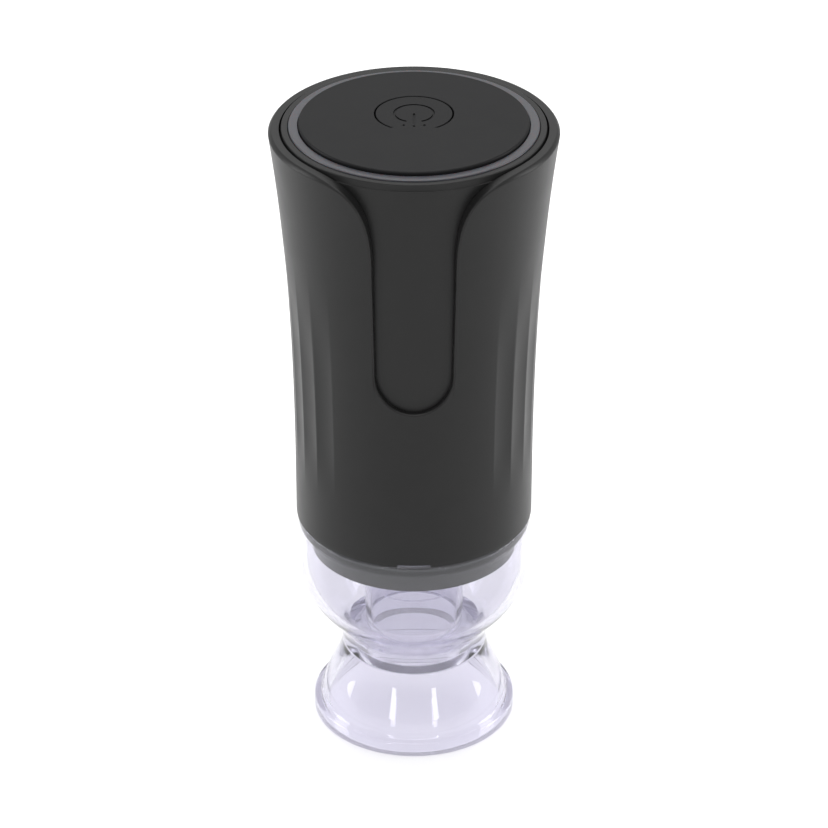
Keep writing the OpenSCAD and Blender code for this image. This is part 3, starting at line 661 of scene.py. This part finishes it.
def milky_acrylic():
    """Opal acrylic of the unlit light ring: a grey with a hint of lavender that scatters light under a
    satin skin."""
    made = moulded("opal_acrylic_moulded", "#37373C", "#424248", 0.36, grain=0.5, ior=1.49)
    surface = made.node_tree.nodes["Principled BSDF"]
    surface.inputs["Subsurface Weight"].default_value = 0.25
    surface.inputs["Subsurface Scale"].default_value = 1.5 * MM
    return made


FINISH = {
    # outer mouldings: satin black, with a spark-eroded or fine matte grain; the grey one is smoother
    "shell_abs": moulded("abs_shell_spark_eroded", "#181818", "#1D1D1D", 0.38, grain=0.3, relief=0.02,
                         level=0.22),
    "sleeve_abs": moulded("abs_sleeve_satin", "#171717", "#1C1C1C", 0.42, grain=0.3, relief=0.015,
                          level=0.24),
    "lid_abs": moulded("abs_lid_fine_matte", "#131314", "#181819", 0.42, grain=0.22, relief=0.015,
                       level=0.1),
    "spigot_abs": moulded("abs_spigot_smooth", "#424440", "#4A4C47", 0.42, grain=0.5),
    "diffuser_acrylic": milky_acrylic(),
    "clear_polycarbonate": clear_polycarbonate(),
    # electronics: glossy green lacquer, dull black chips, milky lamps, shiny wrapped cells, bright strip
    "board_laminate": moulded("solder_mask_board", "#123F28", "#1A5335", 0.3, grain=0.6, cloud=3),
    "component_epoxy": moulded("moulded_epoxy_chips", "#1B1B1D", "#242427", 0.55, grain=0.2),
    "led_epoxy": moulded("milky_epoxy_led", "#E8E4D0", "#F4F1E2", 0.25, grain=0.8),
    "cell_wrap": moulded("shrink_wrapped_cell", "#2F6DA8", "#3878B4", 0.28, grain=1.5, cloud=14),
    "nickel_strip": metal("rolled_nickel_strip", "#B9B6AE", "#CFCCC4", 0.3),
    # inner mouldings: glass fibre shows as rough grey mottle, acetal as a waxy white
    "frame_nylon": moulded("glass_filled_nylon", "#4E5155", "#5C6065", 0.55, grain=0.6, relief=0.03,
                           cloud=2),
    "acetal": moulded("acetal_moulded", "#CFCBBE", "#DDD9CE", 0.35, grain=0.5, ior=1.48),
    # gearbox: granular sintered and cast metals, and brass with the streaks of its cutting
    "sintered_bronze": metal("sintered_bronze", "#8A6238", "#A97E4E", 0.5, stretch=(1, 1, 1), size=0.3),
    "gear_brass": metal("hobbed_brass", "#B38A3E", "#CFA75A", 0.28),
    "die_cast": metal("die_cast_aluminium", "#85888C", "#9DA0A4", 0.45, stretch=(1, 1, 1), size=0.8),
    "carrier_steel": metal("sintered_steel", "#7C7F83", "#94979B", 0.42, stretch=(1, 1, 1), size=0.25),
    # motor: plated can brushed round its axis, dull magnets, pale end cap, layered core, shiny copper
    "motor_steel": metal("zinc_plated_steel", "#A3A6A9", "#BDC0C3", 0.3, stretch=(10, 10, 1)),
    "magnet_ferrite": moulded("sintered_ferrite", "#2C2C2F", "#3A3A3E", 0.6, grain=0.2),
    "motor_cap_nylon": moulded("nylon_end_cap", "#D8D4C6", "#E6E3D8", 0.45, grain=0.5),
    "lamination_steel": metal("stacked_lamination_steel", "#55585C", "#7A7D81", 0.4,
                              stretch=(30, 30, 1)),
    "enamelled_copper": metal("enamelled_copper_wire", "#9C4B1C", "#C76F37", 0.25, stretch=(1, 8, 8)),
    # socket, leads and screws: bright plate, soft coloured insulation
    "socket_steel": metal("nickel_plated_socket", "#A6A8AB", "#C4C6C9", 0.25, stretch=(1, 8, 1)),
    "lead_red": moulded("red_lead_insulation", "#9C1D20", "#B3262A", 0.4, grain=0.6, cloud=4),
    "lead_black": moulded("black_lead_insulation", "#1B1B1C", "#262628", 0.4, grain=0.6, cloud=4),
    "screw_steel": metal("zinc_plated_screw", "#8E9195", "#A9ACB0", 0.3, stretch=(1, 1, 1), size=0.3),
    # drive: a drawn tube with long streaks, a dark dull carriage and a mirror-bright worm
    "tube_steel": metal("drawn_steel_tube", "#85888C", "#A2A5A9", 0.3),
    "carriage_nylon": moulded("nylon_carriage", "#3C3F44", "#484B51", 0.5, grain=0.5),
    "worm_chrome": metal("chrome_plated_worm", "#C2C4C7", "#D2D4D7", 0.1, stretch=(1, 1, 1), size=1.2,
                         relief=0.002),
}

slot_of = {s["node"]: s["material_slot"] for s in frame["record"]["subparts"]}
for node, part in NODES.items():
    part.data.materials.clear()
    part.data.materials.append(FINISH[slot_of[node]])

# Each piece, the body it rides on, the node it stands for, and its finish
PIECES = [
    (shell, "housing", "outer_shell", "shell_abs"),
    (sleeve, "housing", "inner_sleeve", "sleeve_abs"),
    (ring, "housing", "light_ring", "diffuser_acrylic"),
    (lid_piece, "housing", "top_cap", "lid_abs"),
    (spigot, "housing", "base_collar", "spigot_abs"),
    (button, "button", "power_button", "lid_abs"),
    (collar, "collar", "bottle_collar", "clear_polycarbonate"),
    (worm_piece, "carriage", "corkscrew_worm", "worm_chrome"),
]
for piece, body, node, slot in PIECES:
    piece.data.materials.clear()
    piece.data.materials.append(FINISH[slot])
    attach(piece, body)
    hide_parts(node)

# ---- Floor, lights and camera ----
floor_mesh = bpy.data.meshes.new("floor")
FLOOR_HALF = 3
corners = [(x * FLOOR_HALF, y * FLOOR_HALF, 0) for x, y in ((-1, -1), (1, -1), (1, 1), (-1, 1))]
floor_mesh.from_pydata(corners, [], [(0, 1, 2, 3)])
floor = bpy.data.objects.new("floor", floor_mesh)
bpy.context.scene.collection.objects.link(floor)
floor_paint, _, floor_surface, _ = start_material("pale_table")
floor_surface.inputs["Base Color"].default_value = linear("#FAFAFA")
floor_surface.inputs["Roughness"].default_value = 0.9
floor_surface.inputs["Specular IOR Level"].default_value = 0.1
floor_mesh.materials.append(floor_paint)

world = bpy.data.worlds.new("studio")
bpy.context.scene.world = world
world.use_nodes = True
world.node_tree.nodes["Background"].inputs["Color"].default_value = (1, 1, 1, 1)
world.node_tree.nodes["Background"].inputs["Strength"].default_value = 0.63
# plain colour management: what is lit white comes out white
bpy.context.scene.view_settings.view_transform = "Standard"


def soft_box(name, place, aim, size, power):
    """A rectangular area light that faces its aim."""
    lamp = bpy.data.lights.new(name, "AREA")
    lamp.shape = "RECTANGLE"
    lamp.size, lamp.size_y = size
    lamp.energy = power
    holder = bpy.data.objects.new(name, lamp)
    holder.location = place
    holder.rotation_euler = (Vector(aim) - Vector(place)).to_track_quat("-Z", "Y").to_euler()
    bpy.context.scene.collection.objects.link(holder)


# side boxes light the body's flanks, strips put two highlights on the foot, and the boxes overhead
# light the rims and the lid
soft_box("left_box", (-1.3, 0.15, 0.35), (0, 0, 0.12), (0.5, 1.2), 10)
soft_box("right_box", (1.3, 0.15, 0.35), (0, 0, 0.12), (0.5, 1.2), 10)
soft_box("left_strip", (-0.54, -1.05, 0.2), (0, 0, 0.02), (0.12, 0.24), 0.9)
soft_box("right_strip", (0.54, -1.05, 0.2), (0, 0, 0.02), (0.12, 0.24), 0.9)
soft_box("front_box", (0, -0.45, 1.15), (0, 0, 0.12), (0.8, 0.5), 4)
soft_box("top_box", (0, 0.5, 1.5), (0, 0, 0.1), (1.2, 1.2), 10)
soft_box("lid_box", (0, 0.42, 0.42), (0, 0.02, 0.19), (0.5, 0.12), 0.15)

view = bpy.data.cameras.new("camera")
view.sensor_width = 36
view.lens = 169.4
view.clip_start, view.clip_end = 0.05, 20
camera = bpy.data.objects.new("camera", view)
camera.location = (0, -0.9545, 0.6523)
look = Vector((0, 0, 0.09784)) - camera.location
camera.rotation_euler = look.to_track_quat("-Z", "Y").to_euler()
bpy.context.scene.collection.objects.link(camera)
bpy.context.scene.camera = camera

bpy.context.view_layer.update()
